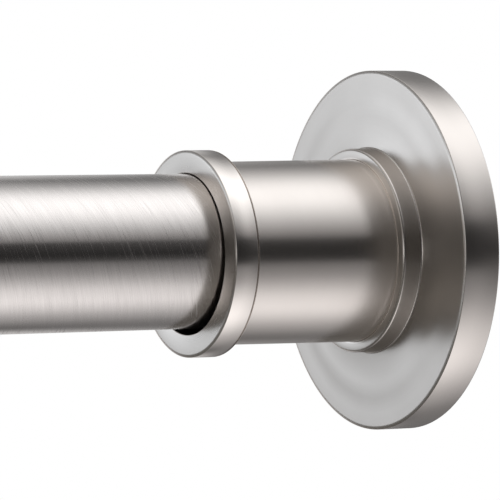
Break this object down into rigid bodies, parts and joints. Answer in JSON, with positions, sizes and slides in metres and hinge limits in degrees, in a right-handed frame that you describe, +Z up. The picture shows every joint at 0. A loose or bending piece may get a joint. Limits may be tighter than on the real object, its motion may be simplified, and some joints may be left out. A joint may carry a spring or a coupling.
{
  "type": "spring tension rod",
  "caption": "Telescopic spring tension rod: a brushed metal tube with a round flange cover and a rubber wall pad at each end, wedged between two walls to hang a curtain.",
  "frame": {"origin": "centre of the right-hand wall pad's face, on the rod's axis", "axes": "+X along the rod and out of the right-hand pad into its wall, so the rod runs from the origin towards -X; +Z up"},
  "size_m": [0.6604, 0.06, 0.0599],
  "materials": {
    "nickel_tube": "brushed",
    "nickel_cover": "satin",
    "pad_rubber": "matt",
    "foot_plastic": "matt",
    "bush_plastic": "satin",
    "lock_nylon": "satin",
    "plated_steel": "zinc plated",
    "spring_steel": "oiled"
  },
  "bodies": {
    "fixed_end": {"outer_tube": "nickel_tube", "mouth_bush": "bush_plastic", "right_foot": "foot_plastic", "right_pad": "pad_rubber"},
    "right_cover": {"right_flange": "nickel_cover", "right_sleeve": "nickel_cover", "right_collar": "nickel_cover"},
    "lock_slider": {"lock_expander": "lock_nylon"},
    "lock_nut": {"lock_cone": "lock_nylon"},
    "guide": {"guide_rod": "plated_steel", "lock_hub": "lock_nylon", "hub_pin": "plated_steel", "cone_clip": "plated_steel", "stop_clip": "plated_steel", "spring_washer": "plated_steel", "spring": "spring_steel"},
    "sliding_end": {"inner_tube": "nickel_tube", "inner_plug": "lock_nylon", "left_foot": "foot_plastic", "left_pad": "pad_rubber"},
    "left_cover": {"left_flange": "nickel_cover", "left_sleeve": "nickel_cover", "left_collar": "nickel_cover"}
  },
  "joints": [
    {"name": "right_cover_slide", "type": "slide", "parent": "fixed_end", "child": "right_cover", "axis": [-1, 0, 0], "range_m": [0, 0.49]},
    {"name": "length_adjust", "type": "slide", "parent": "fixed_end", "child": "lock_slider", "axis": [-1, 0, 0], "range_m": [0, 0.3048]},
    {"name": "twist_lock", "type": "hinge", "parent": "lock_slider", "child": "guide", "pos_m": [-0.0768, 0, 0], "axis": [-1, 0, 0], "range_deg": [0, 360]},
    {"name": "cone_retract", "type": "slide", "parent": "lock_slider", "child": "lock_nut", "axis": [1, 0, 0], "range_m": [0, 0.0013]},
    {"name": "spring_stroke", "type": "slide", "parent": "guide", "child": "sliding_end", "axis": [1, 0, 0], "range_m": [0, 0.03], "stiffness_N_per_m": 1200, "springref_m": -0.02, "deforming": ["spring"]},
    {"name": "left_cover_slide", "type": "slide", "parent": "sliding_end", "child": "left_cover", "axis": [1, 0, 0], "range_m": [0, 0.045]}
  ],
  "couplings": [
    {"joint": "cone_retract", "follows": "twist_lock", "m_per_rad": 0.00019894}
  ]
}
